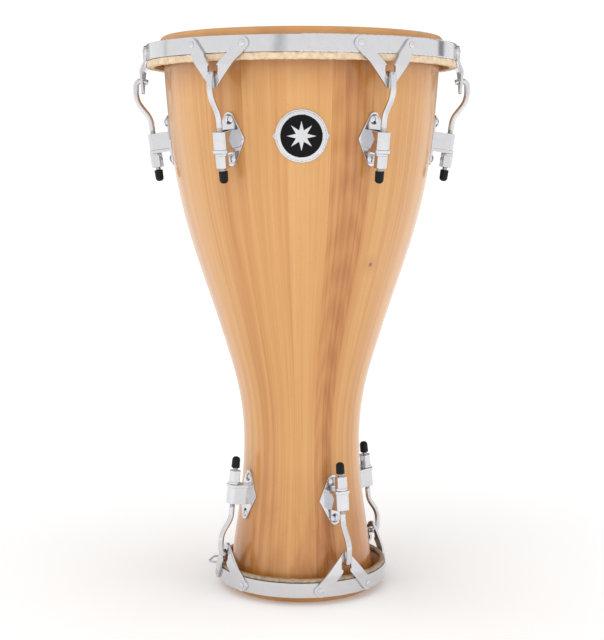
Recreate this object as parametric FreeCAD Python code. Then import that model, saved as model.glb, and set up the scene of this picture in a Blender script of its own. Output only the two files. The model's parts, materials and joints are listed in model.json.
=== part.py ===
"""Double-headed bata drum: an hourglass stave shell with a large and a small tuned skin head.

Frame: millimetres, +Z up along the drum's axis, origin at the centre of the small (bottom) skin's
outer face. Azimuths are measured about +Z from the front, -Y, and grow towards +X.
Each head is drawn in (radius, depth), where depth is measured from the head's outer face towards the
middle of the drum. Each lug is drawn in its own frame: X out of the shell's surface, Y sideways and
Z along the shell towards the rim.
"""
import FreeCAD, Part
import math
import os

os.makedirs("parts", exist_ok=True)
Vector = FreeCAD.Vector
AXIS = Vector(0, 0, 1)
CENTRE = Vector(0, 0, 0)

# ---- shell -------------------------------------------------------------------------------------
drum_height = 627.0
shell_profile = [(1.4, 83.0), (43, 79.6), (104, 71.2), (170, 66.8), (225, 71.6), (272, 83.5),
                 (342, 105.9), (397, 123.8), (458, 139.3), (525, 148.8), (585, 153.7), (625.6, 156.2)]
wall = 11.0
stave_count = 20
first_stave_edge = 12.0          # azimuth, degrees
bearing_edge_outer_r = 4.5
bearing_edge_inner_r = 3.0

# ---- rods, nuts and caps -----------------------------------------------------------------------
rod_r = 3.175
thread_clearance = 0.06
rod_stand_off = 19.5             # rod axis to the shell's surface
s_bend_start = 27.2              # along the rod from the lug's middle
s_bend_fillet = 25.0
hook_fillet = 5.5
hook_drop = 3.0                  # of the hook's tip below its bend
rod_tail = 42.0
nut_across_flats = 12.0
nut_hex_length = 13.0
nut_collar_r = 6.75
nut_collar_length = 2.6
nut_gap = 0.2                    # nut to bearing plate
nut_chamfer = 0.8
cap_r = 4.8
cap_taper = 0.3
cap_start = 30.8
cap_length = 12.9
cap_mouth_r = 0.8
cap_end_r = 3.8

# ---- lugs --------------------------------------------------------------------------------------
plate_thickness = 2.2
plate_half_length = 36.4         # to the outline's corners before rounding
plate_half_width = 17.5
plate_end_r = 6.2
plate_side_r = 3.0
bolt_spacing = 41.4
bolt_r = 3.0
bolt_hole_r = 3.3
bolt_head_r = 5.4
bolt_head_height = 3.2
bolt_head_skirt = 1.0            # head that follows the plate's curve, below its flat
bracket_width = 15.4
bracket_depth = 23.0
bracket_top = 10.0               # above the lug's middle
bracket_height = 18.5
bracket_wall = 2.2
bracket_corner_r = 4.5
bearing_width = 17.4
bearing_overhang = 1.0
bearing_thickness = 3.5
bearing_corner_r = 5.0
rod_hole_r = 3.5
backing_width = 18.0
backing_length = 56.0
backing_thickness = 2.5
backing_corner_r = 4.0
backing_gap = 0.1                # glue line between the wall and the backing plate
inner_nut_flats = 10.0
inner_nut_height = 5.0
inner_flange_r = 6.5
inner_flange_thickness = 1.5
bolt_end_past_nut = 1.5
inner_nut_gap = 1.3              # keeps the flat flange clear of the curved backing plate
inner_nut_seat = wall + backing_gap + backing_thickness + inner_nut_gap
bolt_places = [Vector(0, 0, bolt_spacing / 2), Vector(0, 0, -bolt_spacing / 2)]
drill_from = 30.0                # depth under the shell's surface at which lug outlines and drills start
drill_length = 44.0
in_plate = 0.6                   # where a bracket's walls start, inside the plate they are cut to
bearing_face = bracket_top - bracket_height - bearing_thickness - nut_gap      # the nut's seat

# ---- rims --------------------------------------------------------------------------------------
band_thickness = 3.0
strap_thickness = 3.0
strap_half_span = 30.5           # a V-strap's rivet to its middle
strap_arm_width = 13.4
strap_end_fillet = 6.2
strap_tip_r = 6.0
strap_hole_r = 5.6
seat_over_hook = 1.5             # middle of the hook's seat above the hook's axis
strap_throat_half = 4.6
strap_pocket_half = 6.2
strap_pocket_height = 6.6
strap_throat_height = 4.0
strap_bends = [6.0, 8.0]         # inside bend radii at the crease and the joggle
rivet_r = 3.6
rivet_shank_r = 2.4
rivet_dome = 1.4
skin_thickness = 1.4
wrap_corner_r = 2.0
loop_wire_r = 1.3
loop_half_width = 13.0
loop_taper = 1.0
loop_reach = 14.5
loop_corner_r = 5.0

# ---- badge -------------------------------------------------------------------------------------
badge_height = 515.8
badge_r = 27.3
badge_step_r = 25.6
badge_face_r = 21.8
badge_flange_thickness = 1.2
badge_ring_thickness = 2.6
badge_face_thickness = 1.6
badge_ear_tip = 30.8
badge_ear_half = 4.4
badge_ear_tip_r = 1.6
badge_nail_at = 28.3
badge_nail_r = 0.9
badge_nail_length = 8.0
badge_nail_proud = 0.6
emblem_points = 8
emblem_outer_r = 15.5
emblem_inner_r = 6.3
emblem_thickness = 0.6

# ---- drawing extents, well past the parts they cut -----------------------------------------------
past_rim = 10.0
past_everything = 400.0


class Head:
    """One end of the drum: which way it faces and the sizes in which the two ends differ."""

    def __init__(self, name, face_z, inward, **sizes):
        self.name = name
        self.face_z = face_z         # height of the skin's outer face
        self.inward = inward         # +1 or -1: the way from the face to the drum's middle
        self.__dict__.update(sizes)

    def point(self, radius, depth):
        return Vector(radius, 0, self.face_z + self.inward * depth)

    def lug_vector(self, out, along):
        """A direction given along the lug's X and Z, in the drum's XZ plane."""
        tilt = math.radians(self.lug_tilt)
        x = out * math.cos(tilt) + along * math.sin(tilt)
        z = out * math.sin(tilt) - along * math.cos(tilt)
        return Vector(x, 0, self.inward * z)

    def strap_offset(self, depth):
        """How far a strap's inner face stands outside the band's radius at a depth past the joggle."""
        share = (depth - self.joggle_depth) / (self.strap_foot_depth - self.joggle_depth)
        return self.joggle + share * (self.strap_foot - self.joggle)

    @property
    def seat_depth(self):
        """Depth of the middle of a strap's seat, which the hook passes through and bears on."""
        middle_r = self.band_r + self.strap_offset(self.hook_depth) + strap_thickness / 2
        slope = hook_drop / (self.hook_r - self.hook_tip_r)
        return self.hook_depth + slope * (self.hook_r - middle_r) - seat_over_hook

    def lug_point(self, out, along):
        return self.point(shell_radius(self.lug_z), self.lug_depth) + self.lug_vector(out, along)

    @property
    def lug_z(self):
        return self.face_z + self.inward * self.lug_depth

    def place(self, shape):
        """Move a shape from the lug's frame to its place on the +X side of the drum."""
        x, z, o = self.lug_vector(1, 0), self.lug_vector(0, 1), self.lug_point(0, 0)
        y = z.cross(x)
        matrix = FreeCAD.Matrix(x.x, y.x, z.x, o.x, x.y, y.y, z.y, o.y, x.z, y.z, z.z, o.z, 0, 0, 0, 1)
        return shape.transformed(matrix, copy=True)


top = Head("top", drum_height, -1, lugs=[-150, -90, -30, 30, 90, 150], lug_depth=114.0, lug_tilt=8.0,
           band_r=174.0, band_from=9.5, band_to=27.0, hoop_r=174.0, hoop_width=9.0, hoop_height=7.8,
           hoop_core_r=2.8, skin_corners=[(157.6, 0), (159.6, 12), (170.2, 23.3)],
           skin_fillets=[6.0, 14.0], rivet_depth=17.7, strap_rise=38.0, crease_depth=26.0,
           joggle_depth=37.0, joggle=4.8, strap_foot_depth=68.0, strap_foot=3.0, hook_depth=46.5,
           hook_r=186.6, hook_tip_r=173.2, s_bend_angle=39.0, loop_azimuth=-120)
bottom = Head("bottom", 0.0, 1, lugs=[-60, 30, 120, 210], lug_depth=112.0, lug_tilt=6.0,
              band_r=98.0, band_from=9.5, band_to=26.0, hoop_r=97.6, hoop_width=6.6, hoop_height=4.4,
              hoop_core_r=1.5, skin_corners=[(85.2, 0), (86.6, 10), (94.2, 23)],
              skin_fillets=[5.0, 12.0], rivet_depth=17.0, strap_rise=34.8, crease_depth=24.0,
              joggle_depth=33.0, joggle=0.7, strap_foot_depth=66.0, strap_foot=-3.2, hook_depth=45.2,
              hook_r=105.4, hook_tip_r=92.0, s_bend_angle=35.5, loop_azimuth=-105)
heads = [top, bottom]


# ---- drawing helpers ---------------------------------------------------------------------------
def rounded(points, radii, closed):
    """Edges through the points, with an arc of each given radius at each inner corner."""
    count = len(points)
    corners = range(count) if closed else range(1, count - 1)
    radius_at = dict(zip(corners, radii))
    ends = {}
    edges = []
    for i in range(count):
        here, radius = points[i], radius_at.get(i, 0)
        if radius == 0:
            ends[i] = (here, here)
            continue
        back = (points[i - 1] - here).normalize()
        on = (points[(i + 1) % count] - here).normalize()
        half = back.getAngle(on) / 2
        start, stop = here + back * (radius / math.tan(half)), here + on * (radius / math.tan(half))
        middle = here + (back + on).normalize() * (radius / math.sin(half) - radius)
        edges.append((i, Part.Arc(start, middle, stop).toShape()))
        ends[i] = (start, stop)
    for i in range(count if closed else count - 1):
        a, b = ends[i][1], ends[(i + 1) % count][0]
        if a.distanceToPoint(b) > 1e-6:
            edges.append((i + 0.5, Part.LineSegment(a, b).toShape()))
    return [edge for _, edge in sorted(edges, key=lambda item: item[0])]


def closed_face(points, radii):
    return Part.Face(Part.Wire(rounded(points, radii, closed=True)))


def turned(face, degrees=360.0):
    """Revolve a face about the drum's axis, centred on the +X side when it isn't a full turn."""
    solid = face.revolve(CENTRE, AXIS, degrees)
    if degrees < 360:
        solid.rotate(CENTRE, AXIS, -degrees / 2)
    return solid


def at_azimuth(shape, azimuth):
    """Turn a shape from the +X side to an azimuth measured from -Y towards +X."""
    copy = shape.copy()
    copy.rotate(CENTRE, AXIS, azimuth - 90)
    return copy


def around(shape, azimuths):
    return [at_azimuth(shape, azimuth) for azimuth in azimuths]


def hexagon(flats, height, start):
    """A hexagonal prism along Z."""
    corner_r = flats / math.sqrt(3)
    angles = [math.radians(60 * i) for i in range(6)]
    corners = [Vector(corner_r * math.cos(a), corner_r * math.sin(a), start) for a in angles]
    return Part.Face(Part.makePolygon(corners + corners[:1])).extrude(Vector(0, 0, height))


def sweep(edges, radius):
    """A round bar along a chain of tangent edges."""
    first = edges[0]
    start, direction = first.valueAt(first.FirstParameter), first.tangentAt(first.FirstParameter)
    section = Part.Wire(Part.Circle(start, direction, radius).toShape())
    return Part.Wire(edges).makePipeShell([section], True, False)


def export(name, solids):
    shape = solids[0] if len(solids) == 1 else Part.makeCompound(solids)
    for solid in shape.Solids:
        if not solid.isValid() or solid.Volume <= 0:
            raise ValueError(name + " has a bad solid")
    shape.exportStep("parts/" + name + ".step")
    print(name, len(shape.Solids), round(shape.Volume))


# ---- shell -------------------------------------------------------------------------------------
def shell_curve(offset, low=None, high=None):
    """The shell's outer curve moved out by an offset, as an edge from its lower to its upper end."""
    curve = Part.BSplineCurve()
    curve.interpolate([Vector(r + offset, 0, z) for z, r in shell_profile])
    if low is None:
        return curve.toShape()
    ends = [curve.parameter(Vector(shell_radius(z) + offset, 0, z)) for z in (low, high)]
    return curve.toShape(*ends)


def shell_radius(z):
    """The shell's outer radius at a height."""
    curve = Part.BSplineCurve()
    curve.interpolate([Vector(r, 0, h) for h, r in shell_profile])
    line = Part.LineSegment(Vector(0, 0, z), Vector(drum_height, 0, z))
    hit = curve.intersectCC(line)[0]
    return hit.X


def layer(inner, outer, low, high, degrees):
    """A patch that follows the shell, between two offsets from its outer surface."""
    a, b = shell_curve(inner, low, high), shell_curve(outer, low, high)
    ends = [Part.LineSegment(a.valueAt(p), b.valueAt(q)).toShape()
            for p, q in ((a.FirstParameter, b.FirstParameter), (a.LastParameter, b.LastParameter))]
    return turned(Part.Face(Part.Wire(Part.__sortEdges__([a, b] + ends))), degrees)


def make_staves():
    """Equal glued staves, each a wedge of the hourglass wall, with rounded bearing edges."""
    outer, inner = shell_curve(0), shell_curve(-wall)
    ends = [Part.LineSegment(inner.valueAt(p), outer.valueAt(q)).toShape()
            for p, q in ((inner.FirstParameter, outer.FirstParameter),
                         (inner.LastParameter, outer.LastParameter))]
    ring = turned(Part.Face(Part.Wire(Part.__sortEdges__([outer, inner] + ends))))
    rim_edges = {True: [], False: []}
    for edge in ring.Edges:
        flat = edge.BoundBox.ZLength < 0.01
        if flat and edge.BoundBox.XLength > 1:
            is_outer = edge.BoundBox.XMax > shell_profile[0 if edge.BoundBox.ZMax < 9 else -1][1] - 1
            rim_edges[is_outer].append(edge)
    ring = ring.makeFillet(bearing_edge_outer_r, rim_edges[True])
    inner_again = [e for e in ring.Edges if e.BoundBox.ZLength < 0.01 and any(
        abs(e.BoundBox.XMax - old.BoundBox.XMax) < 0.01 and abs(e.BoundBox.ZMax - old.BoundBox.ZMax) < 0.01
        for old in rim_edges[False])]
    ring = ring.makeFillet(bearing_edge_inner_r, inner_again)
    holes = [at_azimuth(hole, azimuth) for head in heads for azimuth in head.lugs
             for hole in lug_holes(head)]
    step = 360.0 / stave_count
    size = shell_profile[-1][1] + past_rim
    staves = []
    for i in range(stave_count):
        wedge = Part.makeCylinder(size, drum_height + 2 * past_rim, Vector(0, 0, -past_rim), AXIS, step)
        wedge.rotate(CENTRE, AXIS, first_stave_edge + i * step - 90)
        stave = ring.common(wedge)
        near = [hole for hole in holes if hole.BoundBox.intersect(stave.BoundBox)]
        staves.append(stave.cut(near).Solids[0])
    return staves


# ---- lugs --------------------------------------------------------------------------------------
def lug_holes(head):
    """The holes for a lug's bolts, through its plates and the wall."""
    return [head.place(Part.makeCylinder(bolt_hole_r, drill_length, place - Vector(drill_from, 0, 0),
                                         Vector(1, 0, 0))) for place in bolt_places]


def lug_layer(head, inner, outer, outline):
    """A part that follows the shell under a lug, with an outline in the lug's frame and bolt holes."""
    reach = plate_half_length + past_rim
    patch = layer(inner, outer, head.lug_z - reach, head.lug_z + reach, 60)
    prism = outline.extrude(Vector(drill_length, 0, 0))
    return patch.common(head.place(prism)).cut(lug_holes(head)).Solids[0]


def make_plate(head):
    """The diamond-shaped foot of a lug."""
    x, y, z = -drill_from, plate_half_width, plate_half_length
    corners = [Vector(x, 0, z), Vector(x, y, 0), Vector(x, 0, -z), Vector(x, -y, 0)]
    outline = closed_face(corners, [plate_end_r, plate_side_r, plate_end_r, plate_side_r])
    return lug_layer(head, 0, plate_thickness, outline)


def make_backing(head):
    """The curved steel plate inside the wall that takes a lug's bolts."""
    x, y, z = -drill_from, backing_width / 2, backing_length / 2
    corners = [Vector(x, y, z), Vector(x, -y, z), Vector(x, -y, -z), Vector(x, y, -z)]
    outline = closed_face(corners, [backing_corner_r] * 4)
    outer = -wall - backing_gap
    return lug_layer(head, outer - backing_thickness, outer, outline)


def make_bracket(head, plate):
    """A strip bent into a U that stands on the plate and lets the rod pass through it."""
    def channel(width, depth, corner):
        foot, x, y, z = in_plate, plate_thickness + depth, width / 2, bracket_top - bracket_height
        corners = [Vector(foot, y, z), Vector(x, y, z), Vector(x, -y, z), Vector(foot, -y, z)]
        return closed_face(corners, [0, corner, corner, 0]).extrude(Vector(0, 0, bracket_height))

    outside = channel(bracket_width, bracket_depth, bracket_corner_r)
    inside = channel(bracket_width - 2 * bracket_wall, bracket_depth - bracket_wall,
                     bracket_corner_r - bracket_wall)
    solid = head.place(outside.cut(inside)).cut(plate)
    return solid.Solids


def make_bearing(head, plate):
    """The plate across the bracket's end that the tuning nut bears on."""
    x, y = plate_thickness + bracket_depth + bearing_overhang, bearing_width / 2
    z = bearing_face + nut_gap
    corners = [Vector(in_plate, y, z), Vector(x, y, z), Vector(x, -y, z), Vector(in_plate, -y, z)]
    slab = closed_face(corners, [0, bearing_corner_r, bearing_corner_r, 0])
    slab = slab.extrude(Vector(0, 0, bearing_thickness))
    hole = Part.makeCylinder(rod_hole_r, bearing_thickness, Vector(rod_stand_off, 0, z), AXIS)
    return head.place(slab.cut(hole)).cut(plate).Solids[0]


def dome(radius, height, base):
    """A spherical cap along X, standing on a base point."""
    ball_r = (radius ** 2 + height ** 2) / (2 * height)
    ball = Part.makeSphere(ball_r, base + Vector(height - ball_r, 0, 0))
    return ball.common(Part.makeCylinder(ball_r, height, base, Vector(1, 0, 0)))


def make_bolt(head, place, plate):
    """A round-headed bolt from the plate through the wall to its nut inside."""
    base = place + Vector(plate_thickness, 0, 0)
    end = -inner_nut_seat - inner_flange_thickness - inner_nut_height - bolt_end_past_nut
    shank = Part.makeCylinder(bolt_r, plate_thickness - end, place + Vector(end, 0, 0), Vector(1, 0, 0))
    skirt = Part.makeCylinder(bolt_head_r, bolt_head_skirt, base - Vector(bolt_head_skirt, 0, 0),
                              Vector(1, 0, 0))
    top_part = dome(bolt_head_r, bolt_head_height, base).fuse(skirt).removeSplitter()
    top_part = head.place(top_part).cut(plate).Solids[0]
    return top_part.fuse(head.place(shank)).removeSplitter().Solids[0]


def make_inner_nut(place):
    """A flanged hexagon nut against the backing plate."""
    base = Part.makeCylinder(inner_flange_r, inner_flange_thickness, CENTRE, AXIS)
    nut = base.fuse(hexagon(inner_nut_flats, inner_nut_height, inner_flange_thickness))
    nut = nut.cut(Part.makeCylinder(bolt_r, drill_length, CENTRE, AXIS)).removeSplitter()
    nut.rotate(CENTRE, Vector(0, 1, 0), -90)
    nut.translate(place - Vector(inner_nut_seat, 0, 0))
    return nut.Solids[0]


# ---- rods, nuts and caps -----------------------------------------------------------------------
def make_rod(head):
    """A tuning rod: threaded tail, S-bend past the lug, and a hook over the strap."""
    tail = head.lug_point(rod_stand_off, -rod_tail)
    bend = head.lug_point(rod_stand_off, s_bend_start)
    rise = (head.hook_r - bend.x) / math.tan(math.radians(head.s_bend_angle))
    shoulder = Vector(head.hook_r, 0, bend.z - head.inward * rise)
    hook = head.point(head.hook_r, head.hook_depth)
    tip = head.point(head.hook_tip_r, head.hook_depth + hook_drop)
    route = [tail, bend, shoulder, hook, tip]
    radii = [s_bend_fillet, s_bend_fillet, hook_fillet]
    return sweep(rounded(route, radii, closed=False), rod_r)


def make_cap(head):
    """A rubber cap with a rounded end on the rod's tail."""
    start, end = -cap_start, -cap_start - cap_length
    outline = [Vector(0, 0, start), Vector(cap_r, 0, start), Vector(cap_r - cap_taper, 0, end),
               Vector(0, 0, end)]
    body = closed_face(outline, [0, cap_mouth_r, cap_end_r, 0]).revolve(CENTRE, AXIS, 360)
    hole = Part.makeCylinder(rod_r, rod_tail, Vector(0, 0, -rod_tail), AXIS)
    cap = body.cut(hole)
    cap.translate(Vector(rod_stand_off, 0, 0))
    return head.place(cap)


def make_nut(head):
    """A collared hexagon nut on the rod's thread, against the bearing plate."""
    length = nut_collar_length + nut_hex_length
    end = bearing_face - length
    seat = Vector(0, 0, bearing_face - nut_collar_length)
    collar = Part.makeCylinder(nut_collar_r, nut_collar_length, seat, AXIS)
    prism = hexagon(nut_across_flats, nut_hex_length, end)
    start_r = nut_across_flats / math.sqrt(3) - nut_chamfer
    cone = Part.makeCone(start_r, start_r + length, length, Vector(0, 0, end), AXIS)
    hole = Part.makeCylinder(rod_r + thread_clearance, length, Vector(0, 0, end), AXIS)
    nut = prism.common(cone).fuse(collar).cut(hole).removeSplitter()
    nut.translate(Vector(rod_stand_off, 0, 0))
    return head.place(nut).Solids[0]


# ---- rims --------------------------------------------------------------------------------------
def ring(head, r_from, r_to, depth_from, depth_to, corner):
    corners = [head.point(r_from, depth_from), head.point(r_to, depth_from),
               head.point(r_to, depth_to), head.point(r_from, depth_to)]
    return turned(closed_face(corners, [corner] * 4))


def make_band(head):
    band = ring(head, head.band_r - band_thickness, head.band_r, head.band_from, head.band_to, 0.6)
    holes = [at_azimuth(hole, azimuth) for azimuth in head.lugs for hole in rivet_shapes(head)[1]]
    return band.cut(holes).Solids[0]


def strap_outline(head):
    """The V of a strap, seen from outside, in the plane through X = 0 with rivets on its top ends."""
    along = Vector(0, -strap_half_span, -head.strap_rise).normalize()      # from a rivet to the V's tip
    across = Vector(0, -along.z, along.y)
    half = strap_arm_width / 2
    rivet = Vector(0, strap_half_span, 0)
    outer, inner = rivet + across * half, rivet - across * half
    tip = outer + along * (outer.y / -along.y)
    notch = inner + along * (inner.y / -along.y)
    right = [outer - along * half, inner - along * half]
    left = [Vector(0, -p.y, p.z) for p in reversed(right)]
    corners = [tip] + right + [notch] + left
    radii = [strap_tip_r, strap_end_fillet, strap_end_fillet, 0, strap_end_fillet, strap_end_fillet]
    return corners, radii


def make_strap(head):
    """A V-shaped strap: riveted over the band, set out past the hoop, with a seat for the hook."""
    inner_r = head.band_r
    outside = inner_r + strap_thickness
    route = [(0, head.rivet_depth - strap_arm_width), (0, head.crease_depth),
             (head.joggle, head.joggle_depth), (head.strap_foot, head.strap_foot_depth)]
    profile = [(inner_r + offset, depth) for offset, depth in route]
    profile += [(outside + offset, depth) for offset, depth in reversed(route)]
    bends = [0] + strap_bends + [0, 0] + strap_bends[::-1] + [0]
    sheet = turned(closed_face([head.point(r, d) for r, d in profile], bends), 60)
    corners, radii = strap_outline(head)
    through = past_everything
    outline = closed_face(corners, radii).extrude(Vector(through, 0, 0))
    seat_z = head.rivet_depth - head.seat_depth
    throat_z = seat_z + strap_pocket_height
    hole = Part.makeCylinder(strap_hole_r, through, Vector(0, 0, seat_z), Vector(1, 0, 0))
    pocket = Part.makeBox(through, 2 * strap_pocket_half, strap_pocket_height,
                          Vector(0, -strap_pocket_half, seat_z))
    throat = Part.makeBox(through, 2 * strap_throat_half, strap_throat_height,
                          Vector(0, -strap_throat_half, throat_z))
    outline = outline.cut([hole, pocket, throat])
    if head.inward > 0:
        outline.rotate(CENTRE, Vector(1, 0, 0), 180)
    outline.translate(Vector(0, 0, head.point(0, head.rivet_depth).z))
    strap = sheet.common(outline).cut(rivet_shapes(head)[1])
    return strap.Solids[0]


def rivet_shapes(head):
    """A strap's two rivets, and their holes, on the +X side."""
    rivets, holes = [], []
    for side in (1, -1):
        angle = math.degrees(math.asin(strap_half_span / (head.band_r + strap_thickness / 2)))
        x_in, x_out = head.band_r - band_thickness, head.band_r + strap_thickness
        base = head.point(0, head.rivet_depth)
        start = base + Vector(x_in, 0, 0)
        shank = Part.makeCylinder(rivet_shank_r, x_out - x_in, start, Vector(1, 0, 0))
        rivet = shank.fuse(dome(rivet_r, rivet_dome, base + Vector(x_out, 0, 0))).removeSplitter()
        inside = start - Vector(band_thickness, 0, 0)
        hole = Part.makeCylinder(rivet_shank_r, 4 * band_thickness, inside, Vector(1, 0, 0))
        for shape, group in ((rivet, rivets), (hole, holes)):
            shape.rotate(CENTRE, AXIS, side * angle)
            group.append(shape)
    return rivets, holes


def make_loop(head):
    """A bent wire loop welded to the band, for a carrying strap."""
    depth = (head.band_from + head.band_to) / 2
    base = head.point(0, depth)
    start_x = math.sqrt(head.band_r ** 2 - loop_half_width ** 2)
    end_x = head.band_r + loop_reach - loop_wire_r
    end_y = loop_half_width - loop_taper
    route = [base + Vector(start_x, loop_half_width, 0), base + Vector(end_x, end_y, 0),
             base + Vector(end_x, -end_y, 0), base + Vector(start_x, -loop_half_width, 0)]
    wire = sweep(rounded(route, [loop_corner_r] * 2, closed=False), loop_wire_r)
    drum = Part.makeCylinder(head.band_r, loop_reach, base - Vector(0, 0, loop_reach / 2), AXIS)
    return at_azimuth(wire.cut(drum).Solids[0], head.loop_azimuth)


def make_skin(head):
    """The stretched hide: a flat head, a rounded shoulder and a collar down inside the band."""
    outer = [head.point(0, 0)] + [head.point(r, d) for r, d in head.skin_corners]
    inner_corners = []
    for i in range(len(head.skin_corners)):
        r, d = head.skin_corners[i]
        before = head.skin_corners[i - 1] if i else (0, 0)
        after = head.skin_corners[min(i + 1, len(head.skin_corners) - 1)]
        turns = []
        for (r0, d0), (r1, d1) in ((before, (r, d)), ((r, d), after)):
            length = math.hypot(r1 - r0, d1 - d0)
            if length > 0:
                turns.append((-(d1 - d0) / length, (r1 - r0) / length))
        nx, nd = sum(t[0] for t in turns), sum(t[1] for t in turns)
        scale = skin_thickness * len(turns) / (nx * nx + nd * nd)
        inner_corners.append(head.point(r + nx * scale, d + nd * scale))
    inner = [head.point(0, skin_thickness)] + inner_corners
    first, second = head.skin_fillets
    outline = outer + inner[::-1]
    radii = [0, first, second, 0, 0, second + skin_thickness, first - skin_thickness, 0]
    return turned(closed_face(outline, radii))


def make_hoop(head):
    """The rawhide-wrapped hoop under the band: a round steel core, and the hide tucked around it."""
    r_to, d_from = head.hoop_r, head.band_to
    r_from, d_to = r_to - head.hoop_width, d_from + head.hoop_height
    core = Part.makeTorus((r_from + r_to) / 2, head.hoop_core_r, head.point(0, (d_from + d_to) / 2), AXIS)
    wrap = ring(head, r_from, r_to, d_from, d_to, wrap_corner_r).cut(core)
    return core, wrap


# ---- badge -------------------------------------------------------------------------------------
def badge_solid(inner, outer, outline):
    """A piece of the badge: a layer over the shell, cut to an outline seen from the front (+X)."""
    reach = badge_ear_tip + past_rim
    patch = layer(inner, outer, badge_height - reach, badge_height + reach, 40)
    outline.translate(Vector(0, 0, badge_height))
    return at_azimuth(patch.common(outline), 0).Solids[0]


def disc(radius):
    return Part.makeCylinder(radius, past_everything, CENTRE, Vector(1, 0, 0))


def make_badge():
    """A domed enamel badge: a stepped ring with two nailed ears, a face and a star."""
    through = Vector(past_everything, 0, 0)
    ears = []
    nails = []
    for side in (1, -1):
        corners = [Vector(0, side * badge_ear_tip, 0), Vector(0, side * badge_step_r, badge_ear_half),
                   Vector(0, side * badge_step_r, -badge_ear_half)]
        ears.append(closed_face(corners, [badge_ear_tip_r, 0, 0]).extrude(through))
        nail = disc(badge_nail_r)
        nail.translate(Vector(0, side * badge_nail_at, 0))
        nails.append(nail)
    base = disc(badge_r).fuse(ears).cut([disc(badge_face_r)] + nails).removeSplitter()
    step = disc(badge_step_r).cut(disc(badge_face_r))
    lower = badge_solid(0, badge_flange_thickness, base)
    upper = badge_solid(badge_flange_thickness, badge_ring_thickness, step)
    ring_solid = lower.fuse(upper).removeSplitter().Solids[0]
    face = badge_solid(0, badge_face_thickness, disc(badge_face_r))
    star = []
    for i in range(2 * emblem_points):
        radius = emblem_inner_r if i % 2 else emblem_outer_r
        angle = math.pi * i / emblem_points
        star.append(Vector(0, radius * math.sin(angle), radius * math.cos(angle)))
    outline = Part.Face(Part.makePolygon(star + star[:1])).extrude(through)
    emblem = badge_solid(badge_face_thickness, badge_face_thickness + emblem_thickness, outline)
    nail_top = badge_flange_thickness + badge_nail_proud
    nail_solids = [badge_solid(-badge_nail_length, nail_top, nail) for nail in nails]
    return ring_solid, face, emblem, nail_solids


def main():
    ring_solid, face, emblem, nails = make_badge()
    staves = [stave.cut(nails) if stave.BoundBox.YMin < -150 else stave for stave in make_staves()]
    export("shell_staves", [solid for stave in staves for solid in stave.Solids])
    export("badge_ring", [ring_solid])
    export("badge_face", [face])
    export("badge_emblem", [emblem])
    export("badge_nails", nails)

    brackets, bearings, bolts, backings, inner_nuts = [], [], [], [], []
    for head in heads:
        plate = make_plate(head)
        export(head.name + "_lug_plates", around(plate, head.lugs))
        for solid in make_bracket(head, plate):
            brackets += around(solid, head.lugs)
        bearings += around(make_bearing(head, plate), head.lugs)
        backings += around(make_backing(head), head.lugs)
        for place in bolt_places:
            bolts += around(make_bolt(head, place, plate), head.lugs)
            inner_nuts += around(head.place(make_inner_nut(place)), head.lugs)
    export("lug_brackets", brackets)
    export("lug_bearing_plates", bearings)
    export("lug_bolts", bolts)
    export("lug_backing_plates", backings)
    export("lug_inner_nuts", inner_nuts)

    for head in heads:
        core, wrap = make_hoop(head)
        export(head.name + "_skin", [make_skin(head)])
        export(head.name + "_band", [make_band(head)])
        export(head.name + "_straps", around(make_strap(head), head.lugs))
        rivets = [solid for rivet in rivet_shapes(head)[0] for solid in around(rivet, head.lugs)]
        export(head.name + "_rivets", rivets)
        export(head.name + "_hoop_core", [core])
        export(head.name + "_hide_wrap", [wrap])
        export(head.name + "_strap_loop", [make_loop(head)])
        rod, cap, nut = make_rod(head), make_cap(head), make_nut(head)
        for number, azimuth in enumerate(head.lugs, 1):
            for kind, shape in (("rod", rod), ("rod_cap", cap), ("tuning_nut", nut)):
                export("%s_%s_%d" % (head.name, kind, number), [at_azimuth(shape, azimuth)])


main()
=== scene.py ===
"""Looks for a double-headed bata drum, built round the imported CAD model. Metres, +Z up, -Y is the front."""
import json
import math

import bmesh
import bpy
import numpy as np
from mathutils import Matrix, Vector


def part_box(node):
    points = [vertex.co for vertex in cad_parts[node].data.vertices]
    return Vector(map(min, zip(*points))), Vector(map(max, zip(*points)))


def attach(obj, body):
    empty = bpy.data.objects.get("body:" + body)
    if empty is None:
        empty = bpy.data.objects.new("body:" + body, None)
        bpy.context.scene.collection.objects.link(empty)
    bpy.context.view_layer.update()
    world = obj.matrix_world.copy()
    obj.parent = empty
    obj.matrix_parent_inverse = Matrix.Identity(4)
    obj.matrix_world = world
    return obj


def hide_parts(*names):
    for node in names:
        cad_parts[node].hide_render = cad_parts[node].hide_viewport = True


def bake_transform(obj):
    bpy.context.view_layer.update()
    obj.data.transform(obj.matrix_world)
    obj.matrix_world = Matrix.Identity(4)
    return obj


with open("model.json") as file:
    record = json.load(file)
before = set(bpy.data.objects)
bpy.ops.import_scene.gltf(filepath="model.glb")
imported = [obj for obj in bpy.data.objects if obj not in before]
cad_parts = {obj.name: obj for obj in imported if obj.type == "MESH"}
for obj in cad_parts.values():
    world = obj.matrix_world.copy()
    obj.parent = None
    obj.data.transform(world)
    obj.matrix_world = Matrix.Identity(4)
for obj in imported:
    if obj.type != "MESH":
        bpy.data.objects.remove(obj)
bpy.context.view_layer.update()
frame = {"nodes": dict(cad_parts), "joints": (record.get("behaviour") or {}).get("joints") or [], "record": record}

MM = 0.001
TAU = 2 * math.pi


# ---- places read from the frame ----------------------------------------------------------------
ROD_STAND_OFF = 19.5 * MM        # rod axis to the shell's surface
NUT_JOINT_ALONG = 19.0 * MM      # the nut joint's point, from the lug's middle towards the tail
MOST_LUGS = 6                    # at either end
joints = {joint["name"]: joint for joint in frame["joints"]}


def reach(node):
    """A ring's outer radius: half of its larger side."""
    low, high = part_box(node)
    return max(high.x - low.x, high.y - low.y) / 2


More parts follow.
